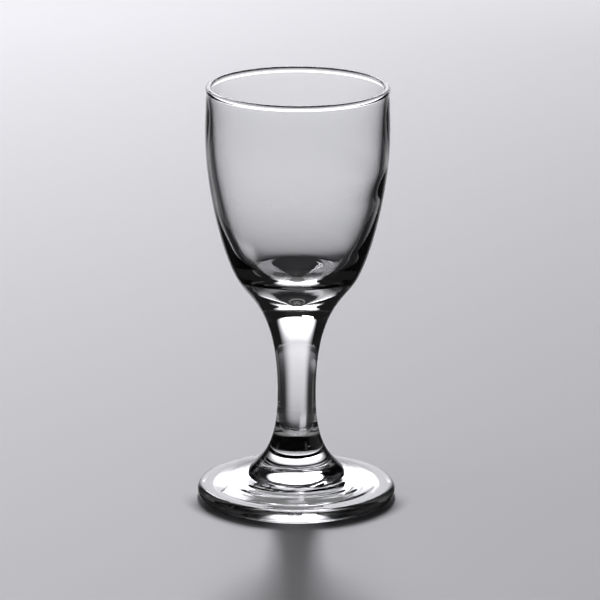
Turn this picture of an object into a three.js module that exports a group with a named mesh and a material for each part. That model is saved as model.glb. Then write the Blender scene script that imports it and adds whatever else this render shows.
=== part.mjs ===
import * as THREE from "three";

// A sherry glass in clear glass: a foot, a stem and a bowl, each made by itself and fused hot to the next on a
// flat seat. Millimetres, +Z up. Every piece is turned about Z, and the foot stands on z = 0.

// Foot: a pressed disc with a half-round edge, a flat ring to stand on and a hollow under the middle.
const FOOT_DIAMETER = 58.6;
const FOOT_EDGE_THICKNESS = 4;
const FOOT_SEAT_HEIGHT = 6.6;
const FOOT_TOP_FALL = 15; // degrees below level, where the top leaves the stem
const REST_RING_WIDTH = 3;
const PUSH_UP = 2.4; // height of the hollow under the middle

// Stem: flared on to the foot, slim at the waist, swelling again towards the bowl.
const STEM_LENGTH = 48.6; // seat on the foot to the seam with the bowl
const STEM_SEAT_DIAMETER = 28.7;
const FLARE_LEAN = -7; // degrees from upright, where the flare leaves the foot
const WAIST_DIAMETER = 11.3;
const WAIST_HEIGHT = 24.6; // above the seat on the foot

// Bowl: heavy at the base, thinning all the way up to a fine groove under the fire-polished bead of the rim. The
// hollow ends in a shallow dish.
const BOWL_HEIGHT = 68.8; // seam with the stem to the top of the rim
const BASE_THICKNESS = 7.91; // seam to the lowest point of the hollow
const DISH_RISE = 4.7; // lowest point of the hollow to the edge of the dish
const DISH_WALL = 6.77; // glass beside the edge of the dish
const DISH_SLOPE = 14; // degrees from level, where the dish turns up into the wall
const SHOULDER_DIAMETER = 34.6;
const SHOULDER_HEIGHT = 10.9; // above the seam
const SHOULDER_LEAN = 32.6; // degrees from upright
const BELLY_DIAMETER = 53.8;
const BELLY_HEIGHT = 55.5; // above the seam
const RIM_DRAW_IN = 0.2; // how far the rim stands inside the belly
const BEAD_THICKNESS = 1.75;
const GROOVE_DROP = 1.65; // top of the bead to the thinnest place under it
const GROOVE_DEPTH = 0.09; // how far the outside is drawn in there
const GROOVE_WALL = 1.3;

// How far each end of a curve holds its direction, as a share of that stretch's height or, where it leaves level,
// of its width.
const FLARE_HOLD = { start: 0.205, end: 0.855 };
const NECK_HOLD = { start: 0.72, end: 0.17 };
const BODY_HOLD = { start: 0.155, end: 0.395 };
const RIM_HOLD = { start: 0.4, end: 0.3 };
const BEAD_HOLD = { start: 0.4, end: 0.5 };
const WALL_HOLD = { start: 0.016, end: 0.782 };
const DISH_HOLD = { start: 0.18, end: 1 };
const FOOT_TOP_HOLD = { start: 0.4, end: 0.35 };
const PUSH_UP_HOLD = { start: 0.5, end: 0.35 };

// Facets, and how finely a place on a curve is found
const SIDES = 64;
const STRETCH_STEPS = 9;
const SHORT_STEPS = 4;
const ROUND_STEPS = 8;
const WALL_STEPS = 20;
const HALVINGS = 40;
const SAME_POINT = 1e-6;

// Heights above the table and radii that the pieces share.
const seatHeight = FOOT_SEAT_HEIGHT;
const seamHeight = seatHeight + STEM_LENGTH;
const rimHeight = seamHeight + BOWL_HEIGHT;
const rimRadius = BELLY_DIAMETER / 2 - RIM_DRAW_IN;
const beadRound = BEAD_THICKNESS / 2;
const footEdgeRound = FOOT_EDGE_THICKNESS / 2;
const footEdgeCentre = FOOT_DIAMETER / 2 - footEdgeRound;

const seatEdge = new THREE.Vector2(STEM_SEAT_DIAMETER / 2, seatHeight);
const waist = new THREE.Vector2(WAIST_DIAMETER / 2, seatHeight + WAIST_HEIGHT);
const shoulder = new THREE.Vector2(SHOULDER_DIAMETER / 2, seamHeight + SHOULDER_HEIGHT);
const belly = new THREE.Vector2(BELLY_DIAMETER / 2, seamHeight + BELLY_HEIGHT);
const groove = new THREE.Vector2(rimRadius - GROOVE_DEPTH, rimHeight - GROOVE_DROP);

function slope(degrees) {
  return Math.tan(THREE.MathUtils.degToRad(degrees));
}

// A curve that climbs from one point to another. Each lean is the outward step per unit of height at that end.
function climb(from, fromLean, to, toLean, hold) {
  const rise = to.y - from.y;
  const leave = new THREE.Vector2(from.x + fromLean * hold.start * rise, from.y + hold.start * rise);
  const arrive = new THREE.Vector2(to.x - toLean * hold.end * rise, to.y - hold.end * rise);
  return new THREE.CubicBezierCurve(from, leave, arrive, to);
}

// A curve that runs outwards from one point to another. Each fall is the drop per unit of width at that end.
function spread(from, fromFall, to, toFall, hold) {
  const run = to.x - from.x;
  const leave = new THREE.Vector2(from.x + hold.start * run, from.y - fromFall * hold.start * run);
  const arrive = new THREE.Vector2(to.x - hold.end * run, to.y + toFall * hold.end * run);
  return new THREE.CubicBezierCurve(from, leave, arrive, to);
}

// Half a circle about a centre, turning anticlockwise from an angle that is counted from outwards.
function halfRound(centreX, centreY, radius, start) {
  return new THREE.EllipseCurve(centreX, centreY, radius, radius, start, start + Math.PI);
}

// The place along a climbing curve, from 0 to 1, where it passes a height.
function placeAtHeight(curve, height) {
  let low = 0;
  let high = 1;
  for (let halving = 0; halving < HALVINGS; halving += 1) {
    const middle = (low + high) / 2;
    if (curve.getPoint(middle).y < height) {
      low = middle;
    } else {
      high = middle;
    }
  }
  return (low + high) / 2;
}

// Points along the stretch of a curve between two places on it.
function pointsBetween(curve, start, end, steps) {
  return Array.from({ length: steps + 1 }, (_, step) => curve.getPoint(start + ((end - start) * step) / steps));
}

// A closed outline turned about the axis. Its first and last points lie on the axis, and doubled points are left out.
function turned(name, outline, material) {
  const points = outline.filter((point, index) => index === 0 || point.distanceTo(outline[index - 1]) > SAME_POINT);
  const mesh = new THREE.Mesh(new THREE.LatheGeometry(points, SIDES).rotateX(Math.PI / 2), material);
  mesh.name = name;
  return mesh;
}

function clearGlass(color) {
  return new THREE.MeshStandardMaterial({ color, roughness: 0.02, metalness: 0, transparent: true, opacity: 0.35 });
}

// The outside line runs unbroken from the waist into the bowl, and the seam parts it between stem and bowl.
const neck = climb(waist, 0, shoulder, slope(SHOULDER_LEAN), NECK_HOLD);
const seamPlace = placeAtHeight(neck, seamHeight);
const seamEdge = new THREE.Vector2(neck.getPoint(seamPlace).x, seamHeight);
const body = climb(shoulder, slope(SHOULDER_LEAN), belly, 0, BODY_HOLD);
const drawIn = climb(belly, 0, groove, 0, RIM_HOLD);

// The radius of that outside line at a height between the waist and the groove.
function outsideAt(height) {
  const curve = [neck, body, drawIn].find((stretch) => stretch.v3.y >= height);
  return curve.getPoint(placeAtHeight(curve, height)).x;
}

function makeFoot() {
  const restInner = new THREE.Vector2(footEdgeCentre - REST_RING_WIDTH, 0);
  const hollowTop = new THREE.Vector2(0, PUSH_UP);
  const topEdge = new THREE.Vector2(footEdgeCentre, FOOT_EDGE_THICKNESS);
  const hollow = spread(hollowTop, 0, restInner, 0, PUSH_UP_HOLD);
  const edge = halfRound(footEdgeCentre, footEdgeRound, footEdgeRound, -Math.PI / 2);
  const top = spread(seatEdge, slope(FOOT_TOP_FALL), topEdge, 0, FOOT_TOP_HOLD);
  return turned(
    "foot",
    [
      ...hollow.getPoints(STRETCH_STEPS),
      ...edge.getPoints(ROUND_STEPS),
      ...top.getPoints(STRETCH_STEPS).reverse(),
      new THREE.Vector2(0, seatHeight),
    ],
    clearGlass(0xe6ebec),
  );
}

function makeStem() {
  const flare = climb(seatEdge, slope(FLARE_LEAN), waist, 0, FLARE_HOLD);
  return turned(
    "stem",
    [
      new THREE.Vector2(0, seatHeight),
      ...flare.getPoints(STRETCH_STEPS),
      ...pointsBetween(neck, 0, seamPlace, STRETCH_STEPS).slice(0, -1),
      seamEdge,
      new THREE.Vector2(0, seamHeight),
    ],
    clearGlass(0xe2e8ea),
  );
}

function makeBowl() {
  const beadCentre = new THREE.Vector2(rimRadius - beadRound, rimHeight - beadRound);
  const beadOutside = new THREE.Vector2(beadCentre.x + beadRound, beadCentre.y);
  const beadInside = new THREE.Vector2(beadCentre.x - beadRound, beadCentre.y);
  const innerGroove = new THREE.Vector2(groove.x - GROOVE_WALL, groove.y);
  const hollowBottom = new THREE.Vector2(0, seamHeight + BASE_THICKNESS);
  const dishHeight = hollowBottom.y + DISH_RISE;
  const dishEdge = new THREE.Vector2(outsideAt(dishHeight) - DISH_WALL, dishHeight);
  const outerBead = climb(groove, 0, beadOutside, 0, BEAD_HOLD);
  const lip = halfRound(beadCentre.x, beadCentre.y, beadRound, 0);
  const innerBead = climb(innerGroove, 0, beadInside, 0, BEAD_HOLD);
  const wall = climb(dishEdge, 1 / slope(DISH_SLOPE), innerGroove, 0, WALL_HOLD);
  const dish = spread(hollowBottom, 0, dishEdge, -slope(DISH_SLOPE), DISH_HOLD);
  return turned(
    "bowl",
    [
      new THREE.Vector2(0, seamHeight),
      seamEdge,
      ...pointsBetween(neck, seamPlace, 1, SHORT_STEPS).slice(1),
      ...body.getPoints(STRETCH_STEPS),
      ...drawIn.getPoints(SHORT_STEPS),
      ...outerBead.getPoints(SHORT_STEPS),
      ...lip.getPoints(ROUND_STEPS),
      ...innerBead.getPoints(SHORT_STEPS).reverse(),
      ...wall.getPoints(WALL_STEPS).reverse(),
      ...dish.getPoints(STRETCH_STEPS).reverse(),
    ],
    clearGlass(0xeaeff0),
  );
}

const sherryGlass = new THREE.Group();
sherryGlass.add(makeFoot(), makeStem(), makeBowl());

export default sherryGlass;
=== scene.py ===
import math

import bpy
import numpy as np
from mathutils import Matrix, Vector


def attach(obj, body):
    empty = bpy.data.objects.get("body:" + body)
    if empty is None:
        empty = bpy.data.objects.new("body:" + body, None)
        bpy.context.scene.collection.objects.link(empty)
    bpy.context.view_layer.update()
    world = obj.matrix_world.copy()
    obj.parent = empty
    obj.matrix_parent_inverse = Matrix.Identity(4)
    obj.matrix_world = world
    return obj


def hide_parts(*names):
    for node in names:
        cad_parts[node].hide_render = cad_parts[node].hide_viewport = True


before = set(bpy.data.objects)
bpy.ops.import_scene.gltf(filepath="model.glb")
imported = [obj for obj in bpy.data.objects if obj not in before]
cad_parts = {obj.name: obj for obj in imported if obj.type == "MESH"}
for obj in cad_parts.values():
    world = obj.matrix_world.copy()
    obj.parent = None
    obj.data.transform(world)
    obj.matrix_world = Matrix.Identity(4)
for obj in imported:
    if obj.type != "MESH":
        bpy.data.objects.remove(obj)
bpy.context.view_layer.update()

# A sherry glass in clear glass: a foot, a stem and a bowl, fused to each other. Each is a body turned about +Z. Its
# shape is worked out in mm and goes into its mesh in m. Slopes, leans and bearings are in degrees.
MM = 0.001

# Foot: a pressed disc with a half-round edge, a flat ring to stand on and a hollow under the middle
FOOT_DIAMETER = 58.6
FOOT_EDGE_THICKNESS = 4.0
FOOT_SEAT_HEIGHT = 6.6
FOOT_TOP_FALL = 15.0  # below level, where the top leaves the stem
REST_RING_WIDTH = 3.0
PUSH_UP = 2.4  # height of the hollow

# Stem: flared on to the foot, slim at the waist, swelling again towards the bowl
STEM_LENGTH = 48.6
STEM_SEAT_DIAMETER = 28.7
FLARE_LEAN = -7.0  # from upright, where the flare leaves the foot
WAIST_DIAMETER = 11.3
WAIST_HEIGHT = 24.6  # above the seat on the foot

# Bowl: heavy at the base, thinning up to a fine groove under the fire-polished bead of the rim
BOWL_HEIGHT = 68.8
BASE_THICKNESS = 7.91  # seam to the lowest point of the hollow
DISH_RISE = 4.7  # lowest point of the hollow to the edge of its dish
DISH_WALL = 6.77  # glass beside the edge of the dish
DISH_SLOPE = 14.0  # from level, where the dish turns up into the wall
SHOULDER_DIAMETER = 34.6
SHOULDER_HEIGHT = 10.9  # above the seam
SHOULDER_LEAN = 32.6  # from upright
BELLY_DIAMETER = 53.8
BELLY_HEIGHT = 55.5  # above the seam
RIM_DRAW_IN = 0.2  # how far the rim stands inside the belly
BEAD_THICKNESS = 1.75
GROOVE_DROP = 1.65  # top of the bead to the groove
GROOVE_DEPTH = 0.09
GROOVE_WALL = 1.3

# How far each end of a curve holds its direction, as a share of the stretch: (start, end)
FLARE_HOLD = (0.205, 0.855)
NECK_HOLD = (0.72, 0.17)
BODY_HOLD = (0.155, 0.395)
RIM_HOLD = (0.4, 0.3)
BEAD_HOLD = (0.4, 0.5)
WALL_HOLD = (0.016, 0.782)
DISH_HOLD = (0.18, 1.0)
FOOT_TOP_HOLD = (0.4, 0.35)
PUSH_UP_HOLD = (0.5, 0.35)

# Faint unevenness that pressing leaves. A ring is (wavelength, height, centre x, centre y). A wave is (wavelength,
# height, bearing from +X). A band of radii is (start, full, full, end).
TOP_RINGS = ((1.5, 0.007, 0.3, -0.2), (2.3, 0.014, -0.4, 0.5), (3.7, 0.02, 0.2, 0.6))
TOP_RINGS_MARGIN = 1.5  # width over which they fade, at the stem and at the edge
TOP_RINGS_BEARING = -50.0  # from +X: the side where they are full
TOP_RINGS_TURN = 0.6  # cosine of the angle from that side at which they are full; they are weakest at minus this
TOP_RINGS_WEAKEST = 0.35
UNDER_WAVES = ((4.1, 0.012, 15.0), (5.2, 0.016, 74.0), (3.3, 0.01, 131.0), (6.1, 0.02, 158.0))
UNDER_WAVES_RADII = (2.5, 7.0, 8.0, 13.0)
DISH_WAVES = ((2.9, 0.004, 32.0), (4.1, 0.006, 98.0), (3.3, 0.005, 151.0))
DISH_WAVES_RADII = (2.0, 5.0, 7.0, 11.0)
EDGE_RING_SPACING = 1.25
EDGE_RING_DEPTH = 0.04
EDGE_RING_MARGIN = 1.0  # how far out on the round edge they are full
EDGE_RING_HALF_HEIGHT = 0.6  # how far above and below the middle of the edge they are full

# Soft swells of the bowl's inner wall: middle bearing from +Y and half width, the heights where a swell starts, is
# full, is still full and ends, and how far it stands in
WALL_SWELLS = (
    (90.0, 80.0, 70.0, 78.0, 92.0, 101.0, 0.48),
    (-90.0, 70.0, 70.0, 80.0, 90.0, 106.0, 0.2),
)

# Finish of the glass: two near-white casts, and a scuffed ring where it stands. A noise is (scale in 1/m, detail).
GLASS_IOR = 1.52
GLASS_CLEAR = (0.998, 0.999, 1.0, 1.0)
GLASS_COOL = (0.988, 0.994, 0.996, 1.0)
CAST_NOISE = (45.0, 2.0)
WEAR_NOISE = (1800.0, 3.0)
NOISE_RANGE = (0.35, 0.65)  # noise that gives none and all of an effect
WEAR_HEIGHTS = (0.0007, 0.0001)  # above the table in m, where the wear is none and full
WEAR_ROUGHNESS = 0.2

# Fineness of the surfaces: points round the axis, then steps along each kind of stretch
SIDES = 224
STRETCH_STEPS = 90
NECK_STEPS = 180
DRAW_IN_STEPS = 30
DISH_STEPS = 60
ROUND_STEPS = 32
BEAD_STEPS = 16
REST_RING_STEPS = 4
JOINT_STEPS = 4
SEAM_CLEARANCE = 0.05  # least height between the seam and the next ring of points
HEIGHT_SLACK = 0.01
LEAST_RADIUS = 1e-9  # in place of zero on the axis, where a radius divides

SEAT = FOOT_SEAT_HEIGHT
SEAM = SEAT + STEM_LENGTH
RIM = SEAM + BOWL_HEIGHT
SEAT_EDGE = (STEM_SEAT_DIAMETER / 2, SEAT)
WAIST = (WAIST_DIAMETER / 2, SEAT + WAIST_HEIGHT)
SHOULDER = (SHOULDER_DIAMETER / 2, SEAM + SHOULDER_HEIGHT)
BELLY = (BELLY_DIAMETER / 2, SEAM + BELLY_HEIGHT)

# Stage. Colours are linear, and distances are in m from the axis of the glass. Bearings are to either side of +Y, which
# is straight behind the glass. A pair of bearings or distances says where an effect is none and where it is full.
BLACK = (0.0, 0.0, 0.0, 1.0)
COOL_WHITE = (0.965, 0.955, 1.0, 1.0)  # light of the lamps and cards
STUDIO_PALE = (0.835, 0.828, 0.868, 1.0)  # backdrop, as it is seen
STUDIO_DARK = (0.009, 0.009, 0.0093, 1.0)  # backdrop, as the glass mirrors it

# Floor: paler on the left, a painted falloff of light, and running into the backdrop far away
FLOOR_HALF_WIDTH = 9.0
FLOOR_ROUGHNESS = 0.16
FLOOR_IOR = 1.5
FLOOR_SPECULAR = 0.5
FLOOR_LEFT = (0.63, 0.63, 0.637, 1.0)
FLOOR_RIGHT = (0.45, 0.45, 0.455, 1.0)
FLOOR_DARK = (0.02, 0.02, 0.0203, 1.0)
FLOOR_PAINTED_FALLOFF = (-0.25, 0.25)
FLOOR_END = (0.62, 1.0)
AXIS_ON_FLOOR = (0.0, 0.0, 0.0)

# Painted light: a weak glow of the floor under the hollow of the foot, in place of light through the clear glass: in
# the front half, and all round for rays bent over twice
UNDER_FOOT_PAINTED_GLOW = (0.22, 0.22, 0.223, 1.0)
UNDER_FOOT_GLOW_RADII = (0.027, 0.019)
UNDER_FOOT_GLOW_BEARINGS = (55.0, 95.0)

# Painted shadow in the floor's colour: a soft dark ring round the front edge of the foot, which ends where the lamp's
# real shadow of the stem starts
PAINTED_SHADOW_RADII = (0.0355, 0.0295)
PAINTED_SHADOW_BEARINGS = (88.0, 122.0)
PAINTED_SHADOW_FRONT = (178.0, 158.0)
PAINTED_SHADOW_TONE = 0.8

# Pale floor and backdrop seen straight through the glass, aside of +Y: through the bowl's walls, then through all of it
ASIDE_BEARINGS = (32.0, 45.0)
ASIDE_REACH = (0.04, 0.07)
ASIDE_TONE = 0.95
SOLID_BEARINGS = (66.0, 95.0)

# Strip of floor ahead, about +Y, which the stem and the foot show: it gets paler away from the glass
AHEAD_BEARINGS = (48.0, 7.0)
AHEAD_REACH = (0.12, 0.5)
AHEAD_TONE = 0.3
AHEAD_END = (1.2, 2.4)
AHEAD_END_TONE = 0.55

# Pale band of floor to either side of that strip, which the edges of the stem show
EDGE_BEARINGS = (62.0, 32.0)
EDGE_INNER_BEARINGS = (14.0, 30.0)
EDGE_REACH = (0.08, 0.5)
EDGE_END = (0.72, 0.5)
EDGE_TONE = 0.4

# Pale place on the floor, which the bottom of the bowl shows to one who looks down over the rim
RIM_PLACE = (-0.216, 0.216, 0.0)
RIM_PLACE_RADII = (0.15, 0.02)
RIM_PLACE_TONE = 0.7

# Limits for the whole number of times that a ray was bent or mirrored
NOT_ONCE = 0.5
OVER_ONCE = 1.5
OVER_TWICE = 2.5

# A Mix node has a set of sockets for each kind of data. These are the ones for colours.
MIX_COLOURS = (6, 7)
MIX_COLOUR_RESULT = 2

# Soft lamps: place, width and height in m, and power in W
LAMPS = (
    dict(name="overhead_lamp", place=(-0.7, 0.3, 1.5), width=2.0, height=2.0, power=4.5),
    dict(name="back_lamp", place=(0.0, 2.8, 1.7), width=0.35, height=1.2, power=145.0),
)

# Upright cards that glow: both ends of the lower edge as (x, y) and the two heights in m, how strong the light is, and
# the pairs of shares of the width and of the height where it is none and full
CARD_CORNERS = ((0, 0), (1, 0), (1, 1), (0, 1))
FILL_ACROSS = ((0.0, 0.4), (1.0, 0.6))
FILL_UP = ((1.0, 0.7), (0.0, 0.3))
GLOW_CARDS = (
    dict(name="back_panel", ends=((-1.5, 2.5), (1.5, 2.5)), heights=(0.0, 1.5), strength=3.6,
         across=((0.015, 0.3), (1.0, 0.6)), up=((1.0, 0.87), (-0.36, 0.8))),
    dict(name="left_panel", ends=((-1.06, 2.49), (-0.26, 2.49)), heights=(1.15, 1.8), strength=7.0,
         across=((0.0, 0.1), (1.0, 0.9)), up=((1.0, 0.9), (0.0, 0.1))),
    dict(name="side_panel", ends=((-2.6, -0.5), (-2.6, 0.5)), heights=(0.3, 1.6), strength=0.4,
         across=FILL_ACROSS, up=((1.0, 0.7), (0.0, 0.4)), fill=True),
    dict(name="front_panel", ends=((2.12, -1.55), (1.55, -2.12)), heights=(0.6, 1.6), strength=0.5,
         across=FILL_ACROSS, up=FILL_UP, fill=True),
    dict(name="corner_panel", ends=((-2.22, 1.4), (-1.75, 1.95)), heights=(0.45, 1.4), strength=0.5,
         across=FILL_ACROSS, up=FILL_UP, fill=True),
    dict(name="right_panel", ends=((1.9, 1.8), (2.3, -1.3)), heights=(0.0, 1.0), strength=0.2,
         across=((0.0, 0.12), (1.0, 0.88)), up=((1.0, 0.6),), fill=True),
)

# Camera: place in m, how far it looks down and is turned in its own frame, and its lens and sensor in mm
CAMERA_PLACE = (0.00087, -1.1757, 0.3911)
CAMERA_DOWN = 15.74
CAMERA_ROLL = 0.24
CAMERA_LENS = 250.14
SENSOR_WIDTH = 36.0


def slope(degrees):
    """Step sideways per unit of length, from an angle."""
    return math.tan(math.radians(degrees))


def bezier(p0, p1, p2, p3, steps):
    """Cubic curve: the four points weighted by the cubic Bernstein terms of t from 0 to 1."""
    t = np.linspace(0.0, 1.0, steps + 1)[:, None]
    points = [np.asarray(p, float) for p in (p0, p1, p2, p3)]
    weights = [(1 - t) ** 3, 3 * (1 - t) ** 2 * t, 3 * (1 - t) * t ** 2, t ** 3]
    return sum(w * p for w, p in zip(weights, points))


def climb(low, low_lean, high, high_lean, hold, steps):
    """Cubic curve that climbs between two points of (radius, height).

    Its inner points lie on the two end directions, each a lean outwards per unit of height, at the held share of the
    rise from its end.
    """
    rise = high[1] - low[1]
    leave = (low[0] + low_lean * hold[0] * rise, low[1] + hold[0] * rise)
    arrive = (high[0] - high_lean * hold[1] * rise, high[1] - hold[1] * rise)
    return bezier(low, leave, arrive, high, steps)


def spread(inner, inner_fall, outer, outer_fall, hold, steps):
    """Cubic curve that runs outwards between two points of (radius, height).

    Its inner points lie on the two end directions, each a fall per unit of width, at the held share of the width from
    its end.
    """
    run = outer[0] - inner[0]
    leave = (inner[0] + hold[0] * run, inner[1] - inner_fall * hold[0] * run)
    arrive = (outer[0] - hold[1] * run, outer[1] + outer_fall * hold[1] * run)
    return bezier(inner, leave, arrive, outer, steps)


def half_round(centre, radius, start):
    """Half a circle about a centre, anticlockwise from the start angle in radians."""
    angle = np.linspace(start, start + math.pi, ROUND_STEPS + 1)
    return np.stack([centre[0] + radius * np.cos(angle), centre[1] + radius * np.sin(angle)], 1)


def level(start_radius, end_radius, height, steps):
    """Straight level stretch between two radii at one height."""
    radius = np.linspace(start_radius, end_radius, steps + 1)
    return np.stack([radius, np.full_like(radius, height)], 1)


def neck_halves():
    """The line from the waist to the shoulder, parted at the seam: the stem's points, then the bowl's."""
    line = climb(WAIST, 0.0, SHOULDER, slope(SHOULDER_LEAN), NECK_HOLD, NECK_STEPS)
    at_seam = np.array([[np.interp(SEAM, line[:, 1], line[:, 0]), SEAM]])
    below = line[line[:, 1] < SEAM - SEAM_CLEARANCE]
    above = line[line[:, 1] > SEAM + SEAM_CLEARANCE]
    return np.vstack([below, at_seam]), np.vstack([at_seam, above])


def foot_outline():
    """Glass surface of the foot, from the middle of the underside round the edge to the stem's seat."""
    edge_round = FOOT_EDGE_THICKNESS / 2
    edge_centre = FOOT_DIAMETER / 2 - edge_round
    ring_inner = edge_centre - REST_RING_WIDTH
    top_edge = (edge_centre, FOOT_EDGE_THICKNESS)
    painted_glow = spread((0.0, PUSH_UP), 0.0, (ring_inner, 0.0), 0.0, PUSH_UP_HOLD, STRETCH_STEPS)
    ring = level(ring_inner, edge_centre, 0.0, REST_RING_STEPS)
    edge = half_round((edge_centre, edge_round), edge_round, -math.pi / 2)
    top = spread(SEAT_EDGE, slope(FOOT_TOP_FALL), top_edge, 0.0, FOOT_TOP_HOLD, STRETCH_STEPS)
    return np.vstack([painted_glow, ring[1:], edge[1:], top[::-1][1:]])


def stem_outline():
    """Glass surface of the stem, from the seat on the foot up to the seam with the bowl."""
    flare = climb(SEAT_EDGE, slope(FLARE_LEAN), WAIST, 0.0, FLARE_HOLD, STRETCH_STEPS)
    return np.vstack([flare, neck_halves()[0][1:]])


def bowl_outline():
    """Glass surface of the bowl, from the seam up the outside, over the rim and down the hollow to its bottom."""
    bead = BEAD_THICKNESS / 2
    side = BELLY_DIAMETER / 2 - RIM_DRAW_IN
    groove = (side - GROOVE_DEPTH, RIM - GROOVE_DROP)
    body = climb(SHOULDER, slope(SHOULDER_LEAN), BELLY, 0.0, BODY_HOLD, STRETCH_STEPS)
    draw_in = climb(BELLY, 0.0, groove, 0.0, RIM_HOLD, DRAW_IN_STEPS)
    outside = np.vstack([neck_halves()[1], body[1:], draw_in[1:]])
    outer_bead = climb(groove, 0.0, (side, RIM - bead), 0.0, BEAD_HOLD, BEAD_STEPS)
    lip = half_round((side - bead, RIM - bead), bead, 0.0)
    inner_groove = (groove[0] - GROOVE_WALL, groove[1])
    inner_bead = climb(inner_groove, 0.0, (side - BEAD_THICKNESS, RIM - bead), 0.0, BEAD_HOLD, BEAD_STEPS)
    bottom = (0.0, SEAM + BASE_THICKNESS)
    dish_height = bottom[1] + DISH_RISE
    dish_edge = (np.interp(dish_height, outside[:, 1], outside[:, 0]) - DISH_WALL, dish_height)
    wall = climb(dish_edge, 1.0 / slope(DISH_SLOPE), inner_groove, 0.0, WALL_HOLD, STRETCH_STEPS)
    dish = spread(bottom, 0.0, dish_edge, -slope(DISH_SLOPE), DISH_HOLD, DISH_STEPS)
    rim_and_hollow = [outer_bead, lip, inner_bead[::-1], wall[::-1], dish[::-1]]
    return np.vstack([outside] + [stretch[1:] for stretch in rim_and_hollow])


def fade(value, zero_at, one_at):
    """Rises smoothly from 0 to 1 as the value goes from zero_at to one_at."""
    t = np.clip((value - zero_at) / (one_at - zero_at), 0.0, 1.0)
    return t * t * (3.0 - 2.0 * t)


def ring_band(radius, radii):
    """1 in a ring between the two middle radii, fading to 0 at the first and the last."""
    return fade(radius, radii[0], radii[1]) * fade(radius, radii[3], radii[2])


def ring_waves(x, y, rings):
    """Sum over the rings of the height times the sine of the distance from the centre, in wavelengths."""
    return sum(height * np.sin(2 * math.pi * np.hypot(x - cx, y - cy) / length) for length, height, cx, cy in rings)


def cross_waves(x, y, waves):
    """Sum over the waves of the height times the sine of the distance along the bearing, in wavelengths.

    The number of the bearing is added as a phase, so that the waves don't all start on the axis.
    """
    total = np.zeros_like(x)
    for length, height, bearing in waves:
        along = x * math.cos(math.radians(bearing)) + y * math.sin(math.radians(bearing))
        total += height * np.sin(2 * math.pi * along / length + bearing)
    return total


def uneven_foot(x, y, z, _past_highest):
    """Change of radius and of height of the foot.

    The radius shrinks in fine rings round the edge, by half the depth times one minus the cosine of the height. The
    height changes in rings on top, stronger on one side, and in waves in the hollow underneath.
    """
    radius = np.hypot(x, y)
    seat = STEM_SEAT_DIAMETER / 2
    middle = FOOT_EDGE_THICKNESS / 2
    edge = FOOT_DIAMETER / 2 - middle
    facing = np.cos(np.arctan2(y, x) - math.radians(TOP_RINGS_BEARING))
    side = TOP_RINGS_WEAKEST + (1.0 - TOP_RINGS_WEAKEST) * fade(facing, -TOP_RINGS_TURN, TOP_RINGS_TURN)
    top_radii = (seat, seat + TOP_RINGS_MARGIN, edge - TOP_RINGS_MARGIN, edge)
    on_top = (z > FOOT_EDGE_THICKNESS - HEIGHT_SLACK) * ring_band(radius, top_radii)
    underneath = (z < PUSH_UP + HEIGHT_SLACK) * ring_band(radius, UNDER_WAVES_RADII)
    on_edge = fade(radius, edge, edge + EDGE_RING_MARGIN) * fade(np.abs(z - middle), middle, EDGE_RING_HALF_HEIGHT)
    shrink = EDGE_RING_DEPTH / 2 * on_edge * (1.0 - np.cos(2 * math.pi * z / EDGE_RING_SPACING))
    return -shrink, on_top * side * ring_waves(x, y, TOP_RINGS) + underneath * cross_waves(x, y, UNDER_WAVES)


def uneven_bowl(x, y, z, past_highest):
    """Change of radius and of height of the bowl's hollow: soft swells of the wall, and faint waves in the dish.

    A swell is a smooth hill over the bearing about its middle, times one over the height between its two ends.
    """
    bearing = np.degrees(np.arctan2(x, y))
    swell = np.zeros_like(x)
    for middle, half_width, low, full_low, full_high, high, depth in WALL_SWELLS:
        off = np.abs((bearing - middle + 180.0) % 360.0 - 180.0)
        swell -= depth * fade(off, half_width, 0.0) * fade(z, low, full_low) * fade(z, high, full_high)
    dish = ring_band(np.hypot(x, y), DISH_WAVES_RADII) * cross_waves(x, y, DISH_WAVES)
    return past_highest * swell, past_highest * dish


def add_object(name, data):
    obj = bpy.data.objects.new(name, data)
    bpy.context.scene.collection.objects.link(obj)
    return obj


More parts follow.
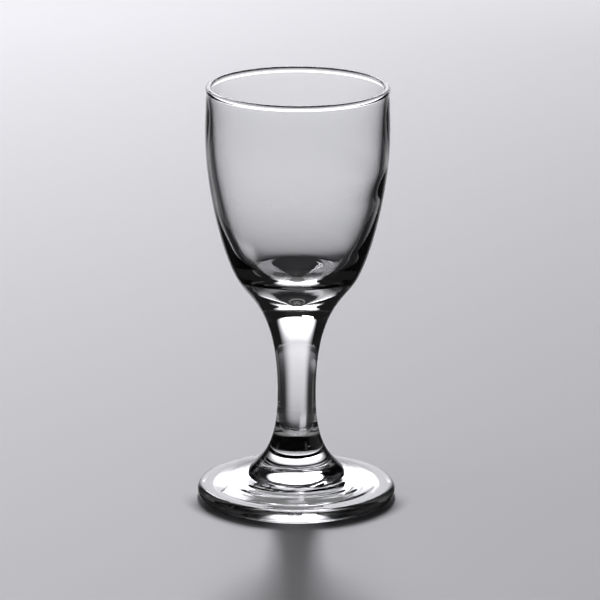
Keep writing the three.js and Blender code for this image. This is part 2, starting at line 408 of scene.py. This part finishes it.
def turned(name, surface, joint_below=None, joint_above=None, uneven=None):
    """A closed body of revolution: each point (radius, height) of the outline goes round the axis at SIDES angles.

    joint_below and joint_above are the heights of flat fused faces that close the outline to the axis. Their faces use
    the second material and are sharp at the edge, so that they don't bend the shading of the glass beside them.
    uneven, where given, is a function of x, y, z and whether the point lies past the highest ring of the outline. It
    returns how much the radius and the height change there.
    """
    lower = [] if joint_below is None else [level(0.0, surface[0, 0], joint_below, JOINT_STEPS)[:-1]]
    upper = [] if joint_above is None else [level(surface[-1, 0], 0.0, joint_above, JOINT_STEPS)[1:]]
    outline = np.vstack(lower + [surface] + upper)

    # Points: the rings in order, then the two ends of the outline on the axis
    rings = outline[1:-1]
    count = len(rings)
    angle = np.arange(SIDES) * (2 * math.pi / SIDES)
    around = np.stack([np.cos(angle), np.sin(angle)], 1)
    points = np.empty((count, SIDES, 3))
    points[..., :2] = rings[:, None, :1] * around[None]
    points[..., 2] = rings[:, None, 1]
    poles = np.array([[0.0, 0.0, outline[0, 1]], [0.0, 0.0, outline[-1, 1]]])
    vertices = np.vstack([points.reshape(-1, 3), poles])
    if uneven is not None:
        past_highest = np.append(np.repeat(np.arange(count) > rings[:, 1].argmax(), SIDES), [False, True])
        wider, higher = uneven(*vertices.T, past_highest)
        radius = np.maximum(np.hypot(vertices[:, 0], vertices[:, 1]), LEAST_RADIUS)
        vertices[:, :2] *= (1.0 + wider / radius)[:, None]
        vertices[:, 2] += higher
    vertices *= MM

    # Faces: a fan at each end, and quads between the rings
    index = np.arange(count * SIDES).reshape(count, SIDES)
    after = np.roll(index, -1, axis=1)
    quads = np.stack([index[:-1], after[:-1], after[1:], index[1:]], -1).reshape(-1, 4)
    first = np.stack([np.full(SIDES, count * SIDES), after[0], index[0]], -1)
    last = np.stack([np.full(SIDES, count * SIDES + 1), index[-1], after[-1]], -1)
    mesh = bpy.data.meshes.new(name)
    mesh.from_pydata(vertices.tolist(), [], first.tolist() + quads.tolist() + last.tolist())

    # Joints: the faces of the flat ends, and the ring where each of them meets the glass
    ring_of_face = np.concatenate([np.full(SIDES, -1), np.repeat(np.arange(count - 1), SIDES), np.full(SIDES, count)])
    below = JOINT_STEPS - 1 if lower else -1
    above = count - JOINT_STEPS if upper else count
    is_joint = (ring_of_face < below) | (ring_of_face >= above)
    if not upper:
        is_joint &= ring_of_face < count
    mesh.polygons.foreach_set("material_index", is_joint.astype(np.int32))
    mesh.polygons.foreach_set("use_smooth", np.ones(len(mesh.polygons), bool))
    edge_ends = np.empty(len(mesh.edges) * 2, np.int32)
    mesh.edges.foreach_get("vertices", edge_ends)
    edge_rings = edge_ends.reshape(-1, 2) // SIDES
    same_ring = edge_rings[:, 0] == edge_rings[:, 1]
    sharp = same_ring & np.isin(edge_rings[:, 0], [ring for ring, used in ((below, lower), (above, upper)) if used])
    attribute = mesh.attributes.new("sharp_edge", "BOOLEAN", "EDGE")
    attribute.data.foreach_set("value", sharp)
    mesh.validate()
    mesh.update()
    return add_object(name, mesh)


def arithmetic(tree, operation, first, second=None):
    """One step of arithmetic in a node tree, on numbers or on the outputs of nodes."""
    node = tree.nodes.new("ShaderNodeMath")
    node.operation = operation
    for socket, value in zip(node.inputs, (first, second)):
        if isinstance(value, (int, float)):
            socket.default_value = value
        elif value is not None:
            tree.links.new(value, socket)
    return node.outputs["Value"]


def times(tree, *values):
    """Product of all the values."""
    product = values[0]
    for value in values[1:]:
        product = arithmetic(tree, "MULTIPLY", product, value)
    return product


def most(tree, *values):
    """Largest of the values."""
    largest = values[0]
    for value in values[1:]:
        largest = arithmetic(tree, "MAXIMUM", largest, value)
    return largest


def ramp(tree, value, ends):
    """Rises smoothly from 0 to 1 as the value goes from the first end to the second, whichever is larger."""
    rising = ends[0] < ends[1]
    node = tree.nodes.new("ShaderNodeMapRange")
    node.interpolation_type = "SMOOTHSTEP"
    node.inputs["From Min"].default_value = min(ends)
    node.inputs["From Max"].default_value = max(ends)
    node.inputs["To Min"].default_value = 0.0 if rising else 1.0
    node.inputs["To Max"].default_value = 1.0 if rising else 0.0
    tree.links.new(value, node.inputs["Value"])
    return node.outputs["Result"]


def blend(tree, factor, first, second):
    """Colour between two others, at 0 the first and at 1 the second."""
    node = tree.nodes.new("ShaderNodeMix")
    node.data_type = "RGBA"
    tree.links.new(factor, node.inputs["Factor"])
    for socket, value in zip(MIX_COLOURS, (first, second)):
        if isinstance(value, tuple):
            node.inputs[socket].default_value = value
        else:
            tree.links.new(value, node.inputs[socket])
    return node.outputs[MIX_COLOUR_RESULT]


def parts_of(tree, vector):
    """The three parts of a vector, by the names X, Y and Z."""
    split = tree.nodes.new("ShaderNodeSeparateXYZ")
    tree.links.new(vector, split.inputs["Vector"])
    return split.outputs


def distance(tree, place, point):
    """How far a place is from a fixed point."""
    node = tree.nodes.new("ShaderNodeVectorMath")
    node.operation = "DISTANCE"
    tree.links.new(place, node.inputs[0])
    node.inputs[1].default_value = point
    return node.outputs["Value"]


def bearing_from_back(tree, vector):
    """Angle of a vector from +Y to either side, in degrees."""
    parts = parts_of(tree, vector)
    angle = arithmetic(tree, "ARCTAN2", parts["X"], parts["Y"])
    return arithmetic(tree, "DEGREES", arithmetic(tree, "ABSOLUTE", angle))


def new_material(name):
    material = bpy.data.materials.new(name)
    material.use_nodes = True
    return material, material.node_tree


def glass_cast_group():
    """Faint unevenness of clear glass, from the place on it.

    Cast is a soft noise between two near-whites. Wear is a fine noise that fades out just above the table.
    """
    group = bpy.data.node_groups.new("glass_cast", "ShaderNodeTree")
    group.interface.new_socket("Place", in_out="INPUT", socket_type="NodeSocketVector")
    group.interface.new_socket("Cast", in_out="OUTPUT", socket_type="NodeSocketColor")
    group.interface.new_socket("Wear", in_out="OUTPUT", socket_type="NodeSocketFloat")
    place = group.nodes.new("NodeGroupInput").outputs["Place"]
    given_out = group.nodes.new("NodeGroupOutput")
    tones = []
    for scale, detail in (CAST_NOISE, WEAR_NOISE):
        noise = group.nodes.new("ShaderNodeTexNoise")
        noise.inputs["Scale"].default_value = scale
        noise.inputs["Detail"].default_value = detail
        group.links.new(place, noise.inputs["Vector"])
        tones.append(ramp(group, noise.outputs["Fac"], NOISE_RANGE))
    cast_tone, wear_tone = tones
    group.links.new(blend(group, cast_tone, GLASS_CLEAR, GLASS_COOL), given_out.inputs["Cast"])
    standing = ramp(group, parts_of(group, place)["Z"], WEAR_HEIGHTS)
    group.links.new(times(group, standing, wear_tone), given_out.inputs["Wear"])
    return group


def clear_glass():
    """Smooth colourless glass, faintly scuffed where the foot stands on the table."""
    material, tree = new_material("clear_glass")
    shader = tree.nodes["Principled BSDF"]
    shader.inputs["IOR"].default_value = GLASS_IOR
    shader.inputs["Transmission Weight"].default_value = 1.0
    place = tree.nodes.new("ShaderNodeTexCoord")
    cast = tree.nodes.new("ShaderNodeGroup")
    cast.node_tree = glass_cast_group()
    tree.links.new(place.outputs["Object"], cast.inputs["Place"])
    tree.links.new(cast.outputs["Cast"], shader.inputs["Base Color"])
    tree.links.new(times(tree, cast.outputs["Wear"], WEAR_ROUGHNESS), shader.inputs["Roughness"])
    return material


def fused_joint():
    """Face inside the glass where two pieces have melted together: nothing is left to see there."""
    material, tree = new_material("fused_joint")
    tree.nodes["Principled BSDF"].inputs["Alpha"].default_value = 0.0
    return material


def make_glass():
    """The three pieces of the glass, each in the place of its CAD node."""
    glass = clear_glass()
    joint = fused_joint()
    foot = turned("clear_foot", foot_outline(), joint_above=SEAT, uneven=uneven_foot)
    stem = turned("clear_stem", stem_outline(), joint_below=SEAT, joint_above=SEAM)
    bowl = turned("clear_bowl", bowl_outline(), joint_below=SEAM, uneven=uneven_bowl)
    for piece, node in ((foot, "foot"), (stem, "stem"), (bowl, "bowl")):
        piece.data.materials.append(glass)
        piece.data.materials.append(joint)
        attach(piece, "root")
        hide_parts(node)


def view_kinds(tree):
    """What kind of view a ray is: 1 for yes, 0 for no.

    camera: the camera's own. straight: not mirrored or scattered on the way. walls: bent more than twice, as by both
    walls of the bowl. mirrored twice: as it says, or more often.
    """
    path = tree.nodes.new("ShaderNodeLightPath").outputs
    not_mirrored = arithmetic(tree, "LESS_THAN", path["Glossy Depth"], NOT_ONCE)
    not_scattered = arithmetic(tree, "LESS_THAN", path["Diffuse Depth"], NOT_ONCE)
    return {
        "camera": path["Is Camera Ray"],
        "straight": times(tree, not_mirrored, not_scattered),
        "walls": arithmetic(tree, "GREATER_THAN", path["Transmission Depth"], OVER_TWICE),
        "mirrored twice": arithmetic(tree, "GREATER_THAN", path["Glossy Depth"], OVER_ONCE),
    }


def flat_sheet(name, corners):
    """Mesh of one face between the corners."""
    mesh = bpy.data.meshes.new(name)
    mesh.from_pydata(corners, [], [range(len(corners))])
    return mesh


def make_floor():
    """Pale floor that runs into the backdrop far away, with painted light and shade in its colour: a painted falloff
    paler on the left, a painted shadow round the front edge of the foot and a painted glow under it.

    It is pale to the camera and where it shows straight through the glass aside of +Y. Elsewhere the glass shows it
    dark, but for the strip ahead.
    """
    half = FLOOR_HALF_WIDTH
    mesh = flat_sheet("floor", [(-half, -half, 0), (half, -half, 0), (half, half, 0), (-half, half, 0)])
    material, tree = new_material("floor")
    shader = tree.nodes["Principled BSDF"]
    shader.inputs["Roughness"].default_value = FLOOR_ROUGHNESS
    shader.inputs["IOR"].default_value = FLOOR_IOR
    place = tree.nodes.new("ShaderNodeTexCoord").outputs["Object"]
    bearing = bearing_from_back(tree, place)
    away = distance(tree, place, AXIS_ON_FLOOR)
    view = view_kinds(tree)

    # Where the floor shows as pale as it is
    walls = times(tree, view["walls"], ramp(tree, bearing, ASIDE_BEARINGS))
    solid = ramp(tree, bearing, SOLID_BEARINGS)
    rim_place = times(tree, ramp(tree, distance(tree, place, RIM_PLACE), RIM_PLACE_RADII), RIM_PLACE_TONE)
    edge = times(tree, ramp(tree, bearing, EDGE_BEARINGS), ramp(tree, bearing, EDGE_INNER_BEARINGS),
                 ramp(tree, away, EDGE_REACH), ramp(tree, away, EDGE_END), EDGE_TONE)
    aside = times(tree, most(tree, walls, solid, rim_place, edge), view["straight"], ramp(tree, away, ASIDE_REACH))
    shown = most(tree, view["camera"], times(tree, aside, ASIDE_TONE))

    # Colour and gloss
    # Painted falloff of light: the floor's colour is paler on the left than on the right
    pale_with_painted_falloff = blend(tree, ramp(tree, parts_of(tree, place)["X"], FLOOR_PAINTED_FALLOFF), FLOOR_LEFT, FLOOR_RIGHT)
    # Painted shadow round the front edge of the foot, blended into the floor's colour
    painted_shadow = times(tree, ramp(tree, bearing, PAINTED_SHADOW_BEARINGS), ramp(tree, bearing, PAINTED_SHADOW_FRONT),
                    ramp(tree, away, PAINTED_SHADOW_RADII), PAINTED_SHADOW_TONE)
    floor_with_painted_shadow = blend(tree, painted_shadow, pale_with_painted_falloff, FLOOR_DARK)
    ahead = ramp(tree, bearing, AHEAD_BEARINGS)
    strip = times(tree, ahead, ramp(tree, away, AHEAD_REACH), AHEAD_TONE)
    through = blend(tree, strip, FLOOR_DARK, pale_with_painted_falloff)
    tree.links.new(blend(tree, shown, through, floor_with_painted_shadow), shader.inputs["Base Color"])
    gloss = arithmetic(tree, "SUBTRACT", FLOOR_SPECULAR, times(tree, shown, FLOOR_SPECULAR))
    tree.links.new(gloss, shader.inputs["Specular IOR Level"])

    # Painted light: glow of the floor under the foot, in place of light through the clear foot
    front = most(tree, view["walls"], ramp(tree, bearing, UNDER_FOOT_GLOW_BEARINGS))
    painted_glow = times(tree, ramp(tree, away, UNDER_FOOT_GLOW_RADII), front)
    tree.links.new(blend(tree, painted_glow, BLACK, UNDER_FOOT_PAINTED_GLOW), shader.inputs["Emission Color"])
    shader.inputs["Emission Strength"].default_value = 1.0

    # Far end, which is the backdrop
    backdrop = tree.nodes.new("ShaderNodeEmission")
    backdrop.inputs["Color"].default_value = STUDIO_PALE
    far_ahead = times(tree, ahead, ramp(tree, away, AHEAD_END), AHEAD_END_TONE)
    far = most(tree, times(tree, shown, ramp(tree, away, FLOOR_END)), far_ahead)
    join = tree.nodes.new("ShaderNodeMixShader")
    tree.links.new(far, join.inputs["Fac"])
    tree.links.new(shader.outputs["BSDF"], join.inputs[1])
    tree.links.new(backdrop.outputs["Emission"], join.inputs[2])
    tree.links.new(join.outputs["Shader"], tree.nodes["Material Output"].inputs["Surface"])
    mesh.materials.append(material)
    add_object("floor", mesh)


def make_world():
    """Pale backdrop for the camera and straight through the glass, dark for what the glass mirrors."""
    world = bpy.data.worlds.new("studio")
    world.use_nodes = True
    bpy.context.scene.world = world
    tree = world.node_tree
    bearing = bearing_from_back(tree, tree.nodes.new("ShaderNodeTexCoord").outputs["Generated"])
    view = view_kinds(tree)
    walls = times(tree, view["walls"], ramp(tree, bearing, ASIDE_BEARINGS))
    aside = times(tree, most(tree, walls, ramp(tree, bearing, SOLID_BEARINGS)), view["straight"])
    shown = most(tree, view["camera"], aside)
    tree.links.new(blend(tree, shown, STUDIO_DARK, STUDIO_PALE), tree.nodes["Background"].inputs["Color"])


def soft_lamp(name, place, width, height, power):
    """Large lamp for the floor and its shadow, aimed at the foot. The glass shows the cards and not the lamp."""
    data = bpy.data.lights.new(name, "AREA")
    data.shape = "RECTANGLE"
    data.size = width
    data.size_y = height
    data.energy = power
    data.color = COOL_WHITE[:3]
    lamp = add_object(name, data)
    lamp.location = place
    lamp.rotation_euler = (Vector(AXIS_ON_FLOOR) - Vector(place)).to_track_quat("-Z", "Y").to_euler()
    lamp.visible_camera = False
    lamp.visible_glossy = False
    lamp.visible_transmission = False


def glow_card(name, ends, heights, strength, across, up, fill=False):
    """Flat upright card that gives light with soft edges and that the camera doesn't see.

    A fill card shows as a reflection on the outside of the glass alone. The others show everywhere but in what the
    bowl's walls mirror twice.
    """
    mesh = flat_sheet(name, [(*ends[side], heights[top]) for side, top in CARD_CORNERS])
    layer = mesh.uv_layers.new(name="card")
    layer.data.foreach_set("uv", np.array(CARD_CORNERS, np.float32).ravel())
    material, tree = new_material(name)
    tree.nodes.remove(tree.nodes["Principled BSDF"])
    emission = tree.nodes.new("ShaderNodeEmission")
    emission.inputs["Color"].default_value = COOL_WHITE
    tree.links.new(emission.outputs["Emission"], tree.nodes["Material Output"].inputs["Surface"])
    place = tree.nodes.new("ShaderNodeUVMap")
    place.uv_map = "card"
    shares = parts_of(tree, place.outputs["UV"])
    view = view_kinds(tree)
    light = arithmetic(tree, "SUBTRACT", 1.0, times(tree, view["walls"], view["mirrored twice"]))
    soft_edges = [ramp(tree, shares[axis], pair) for axis, pairs in (("X", across), ("Y", up)) for pair in pairs]
    tree.links.new(times(tree, light, *soft_edges, strength), emission.inputs["Strength"])
    mesh.materials.append(material)
    card = add_object(name, mesh)
    card.visible_camera = False
    card.visible_shadow = False
    card.visible_transmission = not fill


def make_camera():
    """Camera at the photograph's viewing angle, with a long lens."""
    data = bpy.data.cameras.new("camera")
    data.sensor_width = SENSOR_WIDTH
    data.lens = CAMERA_LENS
    camera = add_object("camera", data)
    pitch = Matrix.Rotation(math.radians(90.0 - CAMERA_DOWN), 4, "X")
    roll = Matrix.Rotation(math.radians(CAMERA_ROLL), 4, "Z")
    camera.matrix_world = Matrix.Translation(CAMERA_PLACE) @ pitch @ roll
    bpy.context.scene.camera = camera


make_glass()
make_floor()
make_world()
for lamp in LAMPS:
    soft_lamp(**lamp)
for card in GLOW_CARDS:
    glow_card(**card)
make_camera()
bpy.context.scene.view_settings.view_transform = "Standard"
